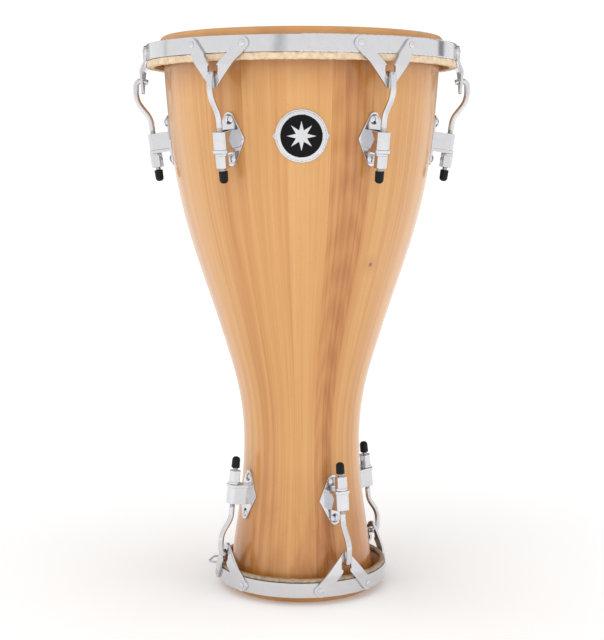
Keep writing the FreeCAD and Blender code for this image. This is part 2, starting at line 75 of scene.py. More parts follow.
class Head:
    """One end of the drum. Depth is measured from the skin's outer face to the drum's middle."""

    def __init__(self, name, inward):
        self.name, self.inward = name, inward
        low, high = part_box(name + "_skin")
        self.face_z = low.z if inward > 0 else high.z
        self.rim_body = name + "_rim"
        self.band_r = reach(name + "_band")
        self.band = self.depths(name + "_band")
        self.lugs = [Lug(self, number) for number in range(1, MOST_LUGS + 1)
                     if "%s_nut_%d_turn" % (name, number) in joints]

    def depths(self, node):
        low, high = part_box(node)
        return sorted([(low.z - self.face_z) * self.inward, (high.z - self.face_z) * self.inward])

    def z(self, depth):
        return self.face_z + self.inward * depth


class Lug:
    """A lug's frame: X out of the shell, Y sideways, Z along the shell to the rim; origin on the shell."""

    def __init__(self, head, number):
        self.head, self.number = head, number
        joint = joints["%s_nut_%d_turn" % (head.name, number)]
        along = Vector(joint["axis"]).normalized()
        at = Vector(joint["pos_m"])
        out = Vector((at.x, at.y, 0))
        out = (out - along * out.dot(along)).normalized()
        self.azimuth = math.atan2(at.x, -at.y)
        origin = at - out * ROD_STAND_OFF + along * NUT_JOINT_ALONG
        turned = Matrix((out, along.cross(out), along)).transposed().to_4x4()
        self.matrix = Matrix.Translation(origin) @ turned


heads = [Head("top", -1), Head("bottom", 1)]


# ---- mesh helpers ------------------------------------------------------------------------------
SAME_POINT = 1e-7


def link(name, data):
    obj = bpy.data.objects.new(name, data)
    bpy.context.scene.collection.objects.link(obj)
    return obj


def new_object(name, mesh, body, slot, material, *replaced):
    """A piece of the visual model, riding on its body and standing for CAD nodes."""
    obj = link(name, mesh)
    mesh.materials.append(material)
    if body:
        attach(obj, body)
    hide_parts(*replaced)
    return obj


def mesh_from(name, points, faces):
    mesh = bpy.data.meshes.new(name)
    mesh.from_pydata([tuple(p) for p in points], [], faces)
    mesh.validate()
    mesh.shade_smooth()
    return mesh


def face_outwards(mesh, weld=False):
    work = bmesh.new()
    work.from_mesh(mesh)
    if weld:
        bmesh.ops.remove_doubles(work, verts=work.verts, dist=SAME_POINT)
    bmesh.ops.recalc_face_normals(work, faces=work.faces)
    work.to_mesh(mesh)
    work.free()


def sharpen(mesh, degrees):
    mesh.shade_smooth()
    mesh.set_sharp_from_angle(angle=math.radians(degrees))


def lathe(name, outline, turns):
    """Revolve (radius, height) points that start and end on the axis about Z."""
    points, faces = [], []
    count = len(outline)
    for i in range(turns):
        c, s = math.cos(TAU * i / turns), math.sin(TAU * i / turns)
        points += [(r * c, r * s, z) for r, z in outline]
    for i in range(turns):
        j = (i + 1) % turns
        for k in range(count - 1):
            faces.append((i * count + k, j * count + k, j * count + k + 1, i * count + k + 1))
    mesh = mesh_from(name, points, faces)
    face_outwards(mesh, weld=True)
    return mesh


def rounded(corners, radii, steps=6, closed=False):
    """A polyline through the corners, with an arc of each radius at each corner."""
    line = []
    count = len(corners)
    for i, here in enumerate(corners):
        here = np.array(here, float)
        radius = radii[i]
        if radius == 0 or (not closed and i in (0, count - 1)):
            line.append(here)
            continue
        back = np.array(corners[i - 1], float) - here
        on = np.array(corners[(i + 1) % count], float) - here
        back, on = back / np.linalg.norm(back), on / np.linalg.norm(on)
        half = math.acos(max(-1, min(1, back @ on))) / 2
        middle = (back + on) / np.linalg.norm(back + on)
        centre = here + middle * radius / math.sin(half)
        start = here + back * radius / math.tan(half) - centre
        stop = here + on * radius / math.tan(half) - centre
        sweep = math.acos(max(-1, min(1, start @ stop / radius ** 2)))
        for k in range(steps + 1):
            a = sweep * k / steps
            line.append(centre + (start * math.sin(sweep - a) + stop * math.sin(a)) / math.sin(sweep))
    return line


def cubic(x, y):
    """A natural cubic spline through the points, as a function."""
    x, y = np.array(x, float), np.array(y, float)
    h = np.diff(x)
    rows, right = np.eye(len(x)), np.zeros(len(x))
    for i in range(1, len(x) - 1):
        rows[i, i - 1:i + 2] = h[i - 1], 2 * (h[i - 1] + h[i]), h[i]
        right[i] = 6 * ((y[i + 1] - y[i]) / h[i] - (y[i] - y[i - 1]) / h[i - 1])
    bend = np.linalg.solve(rows, right)

    def value(at):
        i = int(np.clip(np.searchsorted(x, at) - 1, 0, len(x) - 2))
        a, b = (x[i + 1] - at) / h[i], (at - x[i]) / h[i]
        return a * y[i] + b * y[i + 1] + ((a ** 3 - a) * bend[i] + (b ** 3 - b) * bend[i + 1]) * h[i] ** 2 / 6
    return value


# ---- material helpers --------------------------------------------------------------------------
def grey(value):
    return (value, value, value)


def opaque(value):
    """A bare colour with its alpha; anything else as it is."""
    return value + (1.0,) if isinstance(value, tuple) and len(value) == 3 else value


class Nodes:
    """A material's or world's node tree, built by short calls."""

    def __init__(self, name, kind=bpy.data.materials):
        self.material = kind.new(name)
        self.material.use_nodes = True
        self.tree = self.material.node_tree
        self.shader = self.tree.nodes.get("Principled BSDF")

    def add(self, kind, inputs=(), **settings):
        node = self.tree.nodes.new(kind)
        for key, value in settings.items():
            setattr(node, key, value)
        for key, value in dict(inputs).items():
            self.put(value, node.inputs[key])
        return node

    def put(self, value, socket):
        if isinstance(value, bpy.types.NodeSocket):
            self.tree.links.new(value, socket)
        else:
            socket.default_value = value

    def set(self, **values):
        for key, value in values.items():
            self.put(value, self.shader.inputs[key.replace("_", " ")])

    def math(self, operation, a, b):
        return self.add("ShaderNodeMath", {0: a, 1: b}, operation=operation).outputs[0]

    def noise(self, vector, scale, detail=3.0, roughness=0.5, distortion=0.0):
        node = self.add("ShaderNodeTexNoise", {"Vector": vector, "Scale": scale, "Detail": detail,
                                               "Roughness": roughness, "Distortion": distortion})
        return node.outputs["Fac"]

    def stretch(self, vector, scale):
        node = self.add("ShaderNodeMapping", {"Vector": vector, "Scale": scale})
        return node.outputs["Vector"]

    def ramp(self, factor, stops):
        node = self.add("ShaderNodeValToRGB", {"Fac": factor})
        elements = node.color_ramp.elements
        while len(elements) < len(stops):
            elements.new(0.5)
        for element, (position, colour) in zip(elements, stops):
            element.position = position
            element.color = opaque(colour)
        return node.outputs["Color"]

    def remap(self, value, start, end, low=0.0, high=1.0):
        """Map start..end to low..high, and hold the value at either end."""
        node = self.add("ShaderNodeMapRange", {"Value": value, "From Min": start, "From Max": end,
                                               "To Min": low, "To Max": high})
        return node.outputs["Result"]

    def between(self, factor, low, high):
        return self.remap(factor, 0.0, 1.0, low, high)

    def mix(self, factor, a, b, blend="MIX"):
        node = self.add("ShaderNodeMix", data_type="RGBA", blend_type=blend)
        self.put(factor, node.inputs["Factor"])
        for value, socket in ((a, node.inputs[6]), (b, node.inputs[7])):
            self.put(opaque(value), socket)
        return node.outputs[2]

    def bump(self, height, strength, distance):
        inputs = {"Height": height, "Strength": strength, "Distance": distance}
        return self.add("ShaderNodeBump", inputs).outputs["Normal"]

    def attribute(self, name, output):
        return self.add("ShaderNodeAttribute", attribute_name=name).outputs[output]

    def distance(self, place, centre):
        node = self.add("ShaderNodeVectorMath", {0: place, 1: centre}, operation="DISTANCE")
        return node.outputs["Value"]

    @property
    def place(self):
        return self.add("ShaderNodeTexCoord").outputs["Object"]


def chrome_material():
    """Polished chrome with faint smears and tiny pits."""
    n = Nodes("chrome")
    smear = n.noise(n.place, scale=120.0, detail=4.0, roughness=0.6)
    fine = n.noise(n.place, scale=900.0, detail=2.0)
    n.set(Base_Color=n.mix(smear, (0.61, 0.61, 0.635), (0.68, 0.68, 0.70)), Metallic=1.0,
          Roughness=n.between(smear, 0.07, 0.16), Normal=n.bump(fine, strength=0.02, distance=0.0002))
    return n.material


def steel_material():
    """Dull zinc-plated steel for the parts inside the shell."""
    n = Nodes("inner_steel")
    spangle = n.noise(n.place, scale=260.0, detail=4.0, roughness=0.7)
    n.set(Base_Color=n.mix(spangle, (0.42, 0.43, 0.44), (0.60, 0.61, 0.62)), Metallic=1.0,
          Roughness=n.between(spangle, 0.32, 0.5), Normal=n.bump(spangle, strength=0.1, distance=0.0003))
    return n.material


def rubber_material():
    """Matt black rubber."""
    n = Nodes("cap_rubber")
    grain = n.noise(n.place, scale=1500.0, detail=3.0)
    n.set(Base_Color=n.mix(grain, (0.004, 0.004, 0.0045), (0.010, 0.010, 0.0105)),
          Roughness=n.between(grain, 0.42, 0.62), Normal=n.bump(grain, strength=0.15, distance=0.0002),
          Specular_IOR_Level=0.2)
    return n.material


def enamel_material():
    """Black enamel, very slightly wavy."""
    n = Nodes("badge_enamel")
    wave = n.noise(n.place, scale=60.0, detail=2.0)
    n.set(Base_Color=n.mix(wave, (0.003, 0.003, 0.0035), (0.007, 0.007, 0.0075)), Roughness=0.28,
          Normal=n.bump(wave, strength=0.04, distance=0.0005), Specular_IOR_Level=0.1)
    return n.material


KNOT = (0.0742, -0.0914, 0.379)          # a small knot in the front right stave
KNOT_R = 3.2 * MM
KNOT_HALO_R = 16.0 * MM
TOP_PAINTED_SHADE = 70.0 * MM                    # how far the painted rim shade and reflection reach in from each rim
BOTTOM_PAINTED_SHADE = 150.0 * MM
STREAK_WEIGHT, BROAD_WEIGHT, SHADE_BASE = 0.42, 0.42, 0.08
FIGURE_WEIGHT = 0.06
DARK_STAVE, PALE_STAVE = -0.16, 0.12     # what a stave's tone adds to the shade
WOOD_SHADES = [(0.24, (0.40, 0.140, 0.027)), (0.40, (0.545, 0.240, 0.062)),
               (0.56, (0.625, 0.312, 0.094)), (0.78, (0.69, 0.372, 0.132))]
PORE_SHADES = [(0.30, grey(0.88)), (0.43, grey(1.0)), (0.7, grey(1.0)), (0.8, grey(1.04))]


def wood_material():
    """Lacquered stave wood. Mesh attributes give each point's place in its stave: across and along it."""
    n = Nodes("shell_wood")
    grain = n.attribute("grain", "Vector")
    tone = n.attribute("tone", "Fac")
    figure = n.attribute("figure", "Fac")
    place = n.place
    streaks = n.noise(n.stretch(grain, (230, 3.0, 1)), scale=1.0, detail=4.0, roughness=0.62, distortion=0.35)
    fine = n.noise(n.stretch(grain, (1100, 16, 1)), scale=1.0, detail=3.0, roughness=0.6)
    broad = n.noise(n.stretch(grain, (62, 1.3, 1)), scale=1.0, detail=2.0, roughness=0.5, distortion=0.5)
    fleck = n.noise(n.stretch(grain, (180, 700, 1)), scale=1.0, detail=2.0, roughness=0.6)
    arcs = n.add("ShaderNodeTexWave", {"Vector": n.stretch(grain, (1, 0.16, 1)), "Scale": 42.0,
                                       "Distortion": 5.0, "Detail": 3.0, "Detail Scale": 1.4},
                 wave_type="RINGS", rings_direction="SPHERICAL", wave_profile="SIN").outputs["Fac"]
    shade = n.math("ADD", n.math("MULTIPLY", streaks, STREAK_WEIGHT), n.math("MULTIPLY", broad, BROAD_WEIGHT))
    shade = n.math("ADD", shade, SHADE_BASE)
    shade = n.math("ADD", shade, n.math("MULTIPLY", n.math("SUBTRACT", arcs, 0.5),
                                        n.math("MULTIPLY", figure, FIGURE_WEIGHT)))
    shade = n.math("ADD", shade, n.between(tone, DARK_STAVE, PALE_STAVE))
    colour = n.mix(1.0, n.ramp(shade, WOOD_SHADES), n.ramp(fine, PORE_SHADES), "MULTIPLY")
    flecks = n.ramp(fleck, [(0.28, grey(0.88)), (0.36, grey(1.0))])
    colour = n.mix(0.7, colour, flecks, "MULTIPLY")

    # painted shade and reflection near both rims: the wood is darkened there, broken into blotches
    height = n.add("ShaderNodeSeparateXYZ", {"Vector": place}).outputs["Z"]
    to_bottom = n.remap(height, shell_low + BOTTOM_PAINTED_SHADE, shell_low + 0.2 * BOTTOM_PAINTED_SHADE)
    to_top = n.remap(height, shell_high - TOP_PAINTED_SHADE, shell_high - 0.4 * TOP_PAINTED_SHADE)
    blotch = n.noise(n.stretch(place, (26, 26, 9)), scale=1.0, detail=3.0, roughness=0.6, distortion=0.8)
    near = n.math("MAXIMUM", to_bottom, n.math("MULTIPLY", to_top, 0.6))
    rim_painted_shade = n.math("MULTIPLY", near, n.ramp(blotch, [(0.38, grey(0.25)), (0.62, grey(1.0))]))
    colour = n.mix(rim_painted_shade, colour, (0.70, 0.50, 0.30), "MULTIPLY")

    # the knot and its halo
    away = n.distance(place, KNOT)
    halo = n.math("MULTIPLY", n.remap(away, KNOT_HALO_R, KNOT_R), 0.35)
    colour = n.mix(halo, colour, (0.42, 0.19, 0.06))
    colour = n.mix(n.remap(away, KNOT_R, KNOT_R / 3, high=0.8), colour, (0.10, 0.045, 0.02))
    n.set(Base_Color=colour, Roughness=n.between(fine, 0.40, 0.30),
          Normal=n.bump(fine, strength=0.03, distance=0.0002), Coat_Weight=0.6, Coat_Roughness=0.16)
    return n.material


def skin_material():
    """Stretched hide: warm tan, mottled, with faint veins."""
    n = Nodes("skin")
    cloud = n.noise(n.place, scale=14.0, detail=5.0, roughness=0.6)
    fine = n.noise(n.place, scale=420.0, detail=3.0, roughness=0.6)
    vein = n.noise(n.place, scale=34.0, detail=6.0, roughness=0.7, distortion=1.5)
    colour = n.ramp(cloud, [(0.3, (0.53, 0.240, 0.075)), (0.5, (0.62, 0.305, 0.103)),
                            (0.72, (0.70, 0.370, 0.142))])
    colour = n.mix(n.between(vein, 0.0, 0.25), colour, (0.40, 0.17, 0.055))
    n.set(Base_Color=colour, Roughness=n.between(fine, 0.5, 0.36),
          Normal=n.bump(fine, strength=0.12, distance=0.0003),
          Subsurface_Weight=0.06, Subsurface_Radius=(0.004, 0.002, 0.001))
    return n.material


def rawhide_material(name, pale, middle, dark):
    """Rough edge of the hide tucked round the hoop: mottled and fibrous."""
    n = Nodes(name)
    blotch = n.noise(n.place, scale=150.0, detail=6.0, roughness=0.75)
    speck = n.noise(n.place, scale=700.0, detail=4.0, roughness=0.7)
    colour = n.ramp(blotch, [(0.32, dark), (0.46, middle), (0.62, pale)])
    colour = n.mix(n.between(speck, 0.0, 0.4), colour, pale)
    rough = n.math("ADD", n.math("MULTIPLY", blotch, 0.7), n.math("MULTIPLY", speck, 0.3))
    n.set(Base_Color=colour, Roughness=n.between(speck, 0.62, 0.85),
          Normal=n.bump(rough, strength=0.6, distance=0.0012))
    return n.material


chrome, steel, rubber, enamel = chrome_material(), steel_material(), rubber_material(), enamel_material()
skin = skin_material()
# the bottom hoop's hide is the same rawhide in darker colours: painted shade
rawhide = {
    "top": rawhide_material("rawhide", (0.80, 0.64, 0.455), (0.66, 0.50, 0.335), (0.44, 0.31, 0.19)),
    "bottom": rawhide_material("rawhide_dark", (0.47, 0.36, 0.25), (0.34, 0.25, 0.165), (0.20, 0.14, 0.09))}


# ---- shell -------------------------------------------------------------------------------------
STAVES = 20
FIRST_STAVE_EDGE = math.radians(12.0)
STAVE_TONES = [0.0, 0.60, 0.48, 0.72, 0.40, 0.62, 0.34, 0.66, 0.52, 0.74,
               0.42, 0.58, 0.68, 0.46, 0.62, 0.50, 0.66, 0.34, 0.56, 0.70]
FIGURED_STAVES = {0: 1.0, 1: 0.25, 7: 0.8, 12: 0.6}      # staves with an arched figure, and how strong
STAVE_STEPS = 12                 # faces across a stave
SHELL_WALL = 11.0 * MM
SHELL_ROWS = 150
EDGE_ROUND = 4.5 * MM            # the bearing edges, outside
EDGE_ROUND_SHARE = 0.98          # keeps the arc inside its corner
INNER_EDGE_ROUND = 3.0 * MM
ON_JOINT = 0.02 * MM             # a CAD point this near to a stave joint lies on it
SKIP_ENDS = 12.0 * MM            # of the CAD shell, where its edges are rounded
NEIGHBOURS = 14.0 * MM           # heights that tell the outer face's points from the inner face's
ROW_GAP = 3.0 * MM               # least step between the heights that are kept
GRAIN_WIDTH = 0.045              # a stave's width in the grain's own coordinates
GRAIN_SHIFTS = (0.003, 7, 3.1, 0.7)      # put each stave elsewhere in the noise, so that no two match


def shell_outline():
    """The shell's outer radius by height, read from the CAD shell's stave joints, and its two ends."""
    co = np.array([v.co for v in frame["nodes"]["shell_staves"].data.vertices])
    r, az = np.hypot(co[:, 0], co[:, 1]), np.arctan2(co[:, 0], -co[:, 1])
    step = TAU / STAVES
    on_joint = np.abs((az - FIRST_STAVE_EDGE + step / 2) % step - step / 2) * r < ON_JOINT
    seam = np.array(sorted({(round(z, 5), round(x, 5)) for z, x in zip(co[on_joint, 2], r[on_joint])}))
    low, high = seam[0, 0] + SKIP_ENDS, seam[-1, 0] - SKIP_ENDS
    rows = []
    for z, x in seam:
        near = seam[np.abs(seam[:, 0] - z) < NEIGHBOURS]
        if low < z < high and x > near[:, 1].mean() and (not rows or z - rows[-1][0] > ROW_GAP):
            rows.append((z, x))
    return cubic([z for z, _ in rows], [x for _, x in rows]), seam[0, 0], seam[-1, 0]


shell_radius, shell_low, shell_high = shell_outline()
wood = wood_material()


def shell_end(z_end, sign):
    """The rounded edge at one end, in (radius, height), from the inner wall to the outer."""
    r, inside = shell_radius(z_end), z_end + sign * EDGE_ROUND
    r_inside = shell_radius(inside)
    corners = [(r_inside - SHELL_WALL, inside), (r - SHELL_WALL, z_end), (r, z_end), (r_inside, inside)]
    return [tuple(p) for p in rounded(corners, [0, INNER_EDGE_ROUND, EDGE_ROUND * EDGE_ROUND_SHARE, 0], 5)]


def make_shell():
    """The stave shell as one closed skin, with a stave's number, tone and grain written on its points."""
    heights = np.linspace(shell_low + EDGE_ROUND, shell_high - EDGE_ROUND, SHELL_ROWS)
    outline = shell_end(shell_low, 1) + [(shell_radius(z), z) for z in heights[1:-1]]
    outline += shell_end(shell_high, -1)[::-1]
    outline += [(shell_radius(z) - SHELL_WALL, z) for z in heights[-2:0:-1]]
    sway, pace, along, apart = GRAIN_SHIFTS
    points, faces, grain, tone, figure = [], [], [], [], []
    for s in range(STAVES):
        for k in range(STAVE_STEPS + 1):
            az = FIRST_STAVE_EDGE + TAU * (s + k / STAVE_STEPS) / STAVES
            for r, z in outline:
                points.append((r * math.sin(az), -r * math.cos(az), z))
                across = (k / STAVE_STEPS - 0.5) * GRAIN_WIDTH + sway * math.sin(pace * s)
                grain += [across, z + along * s, apart * s]
                tone.append(STAVE_TONES[s])
                figure.append(FIGURED_STAVES.get(s, 0.0))
    count = len(outline)
    for s in range(STAVES):
        for k in range(STAVE_STEPS):
            a = (s * (STAVE_STEPS + 1) + k) * count
            for i in range(count):
                j = (i + 1) % count
                faces.append((a + i, a + count + i, a + count + j, a + j))
    mesh = mesh_from("shell_wood", points, faces)
    mesh.attributes.new("grain", "FLOAT_VECTOR", "POINT").data.foreach_set("vector", grain)
    mesh.attributes.new("tone", "FLOAT", "POINT").data.foreach_set("value", tone)
    mesh.attributes.new("figure", "FLOAT", "POINT").data.foreach_set("value", figure)
    new_object("shell_wood_staves", mesh, "shell", "shell_wood", wood, "shell_staves")


make_shell()


# ---- skins and hide wraps ----------------------------------------------------------------------
SKIN_THICKNESS = 1.4 * MM
SKIN_LINES = {      # mm: corners of the hide's outer face as (radius, depth), and its bend radii
    "top": ([(157.6, 0), (159.6, 12), (170.2, 23.3)], [6.0, 14.0]),
    "bottom": ([(85.2, 0), (86.6, 10), (94.2, 23)], [5.0, 12.0])}
HIDE_BEARS = 5.0 * MM            # a depth into the hide near the shell; its height is worked out but not used
HIDE_HELD = 20.0 * MM            # a depth into the hide near the rim; its height is worked out but not used
HIDE_TURNS = 180
HIDE_SHARP = 50                  # degrees
MEMBRANE_RINGS = 40
WRAP_CORNER = 2.0 * MM
WRAP_ROUGH = 0.35 * MM
WRAP_TURNS = 900
WRAP_SEED = 5
WRAP_WAVES = (((20, 60), 1.0, 6), ((90, 240), 0.7, 10), ((260, 420), 0.5, 8))    # per turn, weight, how many


def offset_line(line, distance):
    """The line moved to its right-hand side by a distance."""
    line = np.array(line)
    step = np.gradient(line, axis=0)
    step /= np.linalg.norm(step, axis=1)[:, None]
    return line + np.stack([-step[:, 1], step[:, 0]], axis=1) * distance


def make_hide(head):
    """The stretched head as one closed sheet: membrane, rounded shoulder and flared collar."""
    corners, bends = SKIN_LINES[head.name]
    line = rounded([(0, 0)] + corners, [0] + bends + [0], 10)
    membrane = [(r, 0.0) for r in np.linspace(0, line[1][0], MEMBRANE_RINGS)[:-1]]
    line = np.array(membrane + [tuple(p) for p in line[1:]]) * MM
    inner = offset_line(line, SKIN_THICKNESS)
    inner[:, 0] = np.maximum(inner[:, 0], 0)
    outline = [(r, head.z(d)) for r, d in list(line) + list(inner[::-1])]
    mesh = lathe(head.name + "_hide", outline, HIDE_TURNS)
    sharpen(mesh, HIDE_SHARP)
    obj = new_object(head.name + "_hide", mesh, None, "skin", skin, head.name + "_skin")
    head.z(HIDE_BEARS)
    head.z(HIDE_HELD)
    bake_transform(obj)


def make_wrap(head):
    """The hide's rough edge round the hoop, under the band."""
    low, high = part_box(head.name + "_hide_wrap")
    r_to = reach(head.name + "_hide_wrap")
    inner = [v.co for v in frame["nodes"][head.name + "_hide_wrap"].data.vertices]
    r_from = min(math.hypot(co.x, co.y) for co in inner)
    corners = [(r_from, low.z), (r_to, low.z), (r_to, high.z), (r_from, high.z)]
    section = np.array(rounded(corners, [WRAP_CORNER] * 4, 5, closed=True))
    middle = section.mean(axis=0)
    rng = np.random.default_rng(WRAP_SEED)
    waves = [(rng.integers(*span), rng.integers(0, 4), rng.uniform(0, TAU), weight)
             for span, weight, number in WRAP_WAVES for _ in range(number)]
    total = math.sqrt(sum(w[3] ** 2 for w in waves))
    count = len(section)
    points, faces = [], []
    for i in range(WRAP_TURNS):
        angle = TAU * i / WRAP_TURNS
        for k, (r, z) in enumerate(section):
            rough = sum(w * math.sin(a * angle + b * TAU * k / count + phase) for a, b, phase, w in waves)
            pull = WRAP_ROUGH * min(2.0, max(0.0, 0.8 + rough / total))
            to_middle = middle - (r, z)
            to_middle = to_middle / np.linalg.norm(to_middle)
            x, height = r + to_middle[0] * pull, z + to_middle[1] * pull
            points.append((x * math.cos(angle), x * math.sin(angle), height))
            j, m = (i + 1) % WRAP_TURNS, (k + 1) % count
            faces.append((i * count + k, j * count + k, j * count + m, i * count + m))
    mesh = mesh_from(head.name + "_rough_hide_edge", points, faces)
    new_object(head.name + "_rough_hide_edge", mesh, head.rim_body, "rawhide", rawhide[head.name],
               head.name + "_hide_wrap")


for head in heads:
    make_hide(head)
    make_wrap(head)


# ---- tuning rods -------------------------------------------------------------------------------
ROD_R = 3.175 * MM
ROD_TAIL = 42.0 * MM
THREAD_PITCH = 1.27 * MM
THREAD_DEPTH = 0.55 * MM
THREAD_FROM = 0.8 * MM           # from the tail's end
THREAD_TO = 57.0 * MM
THREAD_HALF = 0.42               # half a groove's width, in pitches
THREAD_STEPS = 7                 # rings to a pitch
PLAIN_STEP = 1.2 * MM            # between rings where there is no thread
LAST_STEP = 0.3 * MM
ROD_TURNS = 28
ROD_SHARP = 60                   # degrees
ROD_ROUTES = {      # the S-bend's start along the lug and its angle; the hook's radius, depth and tip radius
    "top": (27.2 * MM, math.radians(39.0), 186.6 * MM, 46.5 * MM, 173.2 * MM),
    "bottom": (27.2 * MM, math.radians(35.5), 105.4 * MM, 45.2 * MM, 92.0 * MM)}
S_BEND_R = 25.0 * MM
HOOK_BEND_R = 5.5 * MM
HOOK_DROP = 3.0 * MM
ROD_END_ROUND = 0.8 * MM


def rod_route(lug):
    """The rod's centre line in (radius, height), from its tail to its hook's tip."""
    head = lug.head
    start, angle, hook_r, hook_depth, tip_r = ROD_ROUTES[head.name]

    def in_plane(along):
        at = lug.matrix @ Vector((ROD_STAND_OFF, 0, along))
        return math.hypot(at.x, at.y), at.z

    tail, bend = in_plane(-ROD_TAIL), in_plane(start)
    rise = (hook_r - bend[0]) / math.tan(angle)
    shoulder = (hook_r, bend[1] - head.inward * rise)
    hook, tip = (hook_r, head.z(hook_depth)), (tip_r, head.z(hook_depth + HOOK_DROP))
    return rounded([tail, bend, shoulder, hook, tip], [0, S_BEND_R, S_BEND_R, HOOK_BEND_R, 0], 12)


def even_steps(line, steps):
    """Points on a line at the given distances from its start, and the way it runs there."""
    line = np.array(line)
    run = np.concatenate([[0], np.cumsum(np.linalg.norm(np.diff(line, axis=0), axis=1))])
    at = np.array([[np.interp(s, run, line[:, 0]), np.interp(s, run, line[:, 1])] for s in steps])
    way = np.gradient(at, axis=0)
    return at, way / np.linalg.norm(way, axis=1)[:, None]


def make_rod(lug):
    """A bent rod with a real thread on its tail."""
    line = np.array(rod_route(lug))
    length = float(np.linalg.norm(np.diff(line, axis=0), axis=1).sum())
    ends = [ROD_END_ROUND * (1 - math.cos(math.pi / 2 * k / 4)) for k in range(4)]
    steps = ends + list(np.arange(ROD_END_ROUND, THREAD_TO + THREAD_PITCH, THREAD_PITCH / THREAD_STEPS))
    steps += list(np.arange(steps[-1] + PLAIN_STEP, length - ROD_END_ROUND - LAST_STEP, PLAIN_STEP))
    steps += [length - e for e in ends[::-1]]
    at, way = even_steps(line, steps)
    c, s = math.sin(lug.azimuth), -math.cos(lug.azimuth)
    points, faces = [], []
    for (r, z), (dr, dz), run in zip(at, way, steps):
        edge = min(1, min(run, length - run) / ROD_END_ROUND)
        radius = ROD_R - ROD_END_ROUND * (1 - math.sqrt(max(0.0, 1 - (1 - edge) ** 2)))
        begun, left = (run - THREAD_FROM) / THREAD_PITCH, (THREAD_TO - run) / THREAD_PITCH
        fade = min(1.0, max(0.0, begun), max(0.0, left))
        for k in range(ROD_TURNS):
            angle = TAU * k / ROD_TURNS
            phase = (run / THREAD_PITCH - k / ROD_TURNS) % 1.0
            groove = THREAD_DEPTH * fade * max(0.0, 1 - abs(phase - 0.5) / THREAD_HALF)
            out, side = (radius - groove) * math.cos(angle), (radius - groove) * math.sin(angle)
            x, height = r + dz * out, z - dr * out
            points.append((x * c - side * s, x * s + side * c, height))
    rows = len(steps)
    for i in range(rows - 1):
        lower, upper = i * ROD_TURNS, (i + 1) * ROD_TURNS
        for k in range(ROD_TURNS):
            m = (k + 1) % ROD_TURNS
            faces.append((lower + k, lower + m, upper + m, upper + k))
    faces.append(tuple(range(ROD_TURNS))[::-1])
    faces.append(tuple((rows - 1) * ROD_TURNS + k for k in range(ROD_TURNS)))
    name = "%s_rod_%d" % (lug.head.name, lug.number)
    mesh = mesh_from(name + "_threaded", points, faces)
    face_outwards(mesh)
    sharpen(mesh, ROD_SHARP)
    new_object(name + "_threaded", mesh, name + "_assembly", "chrome", chrome, name)


for head in heads:
    for lug in head.lugs:
        make_rod(lug)


# ---- pressed and turned metal ------------------------------------------------------------------
EDGE_BREAK = 0.35 * MM           # polished-over edges of the metal
FINE_EDGE_BREAK = 0.2 * MM
BREAK_ANGLE = math.radians(38)
BREAK_WELD = 0.002 * MM
# From here to CAP_MOUTH_R, sizes are in millimetres.
STRAP_SIZES = {     # the rivets' depth and their height over the tip; crease, joggle and foot, each as its
    # depth and how far it stands out; the seat's depth
    "top": (17.7, 38.0, (26.0, 0), (37.0, 4.8), (68.0, 3.0), 46.53),
    "bottom": (17.0, 34.8, (24.0, 0), (33.0, 0.7), (66.0, -3.2), 46.24)}
STRAP_THICKNESS = 3.0
STRAP_HALF_SPAN = 30.5
STRAP_ARM = 13.4
STRAP_END_R = 6.2
STRAP_TIP_R = 6.0
STRAP_BENDS = [6.0, 8.0]
SEAT_R = 5.6
THROAT_HALF, POCKET_HALF, POCKET_HEIGHT = 4.6, 6.2, 6.6
BEND_CUTS, FOOT_CUTS, ACROSS_CUTS = 1.0, 4.0, 6.0        # how closely a strap is cut, so that it bends
STRAP_REACH = 36                 # the cuts across go this far to either side
MERGE_CUTS = 0.12
BRACKET_HALF, BRACKET_DEPTH, BRACKET_WALL, BRACKET_CORNER = 7.7, 25.2, 2.2, 4.5
BRACKET_TOP, BRACKET_FOOT = 10.0, -8.5
BEARING_HALF, BEARING_DEPTH, BEARING_CORNER, BEARING_THICKNESS = 8.7, 26.2, 5.0, 3.5
PLATE_THICKNESS = 2.2
ROD_HOLE_R = 3.5
BOLT_AT, BOLT_R, BOLT_HEAD_R, BOLT_HEAD, BOLT_SKIRT, BOLT_LENGTH = 20.7, 3.0, 5.4, 3.2, 1.0, 22.9
RIVET_R, RIVET_SHANK_R, RIVET_DOME, RIVET_RIM, RIVET_LENGTH = 3.6, 2.4, 1.4, 0.35, 6.0
LOOP_WIRE_R, LOOP_HALF, LOOP_TAPER, LOOP_REACH, LOOP_CORNER = 1.3, 13.0, 1.0, 14.5, 5.0
LOOP_SINK = 0.4                  # the wire's ends start this far inside the band's face
LOOP_TURNS = 20
LOOP_AZIMUTHS = {"top": math.radians(-120), "bottom": math.radians(-105)}
BRACKET_GAP = 0.6                # from the shell's surface to the bracket's and the bearing plate's feet
CAP_R, CAP_TAPER, CAP_START, CAP_LENGTH, CAP_END_R, CAP_MOUTH_R = 4.8, 0.3, 30.8, 12.9, 3.8, 0.8


def break_edges(node, width):
    """Round an object's sharp edges with modifiers, so that they catch the light."""
    weld = node.modifiers.new("weld", "WELD")
    weld.merge_threshold = BREAK_WELD
    bevel = node.modifiers.new("edges", "BEVEL")
    bevel.limit_method, bevel.angle_limit = "ANGLE", BREAK_ANGLE
    bevel.width, bevel.segments, bevel.use_clamp_overlap = width, 2, False
    shading = node.modifiers.new("shading", "WEIGHTED_NORMAL")
    shading.keep_sharp = True


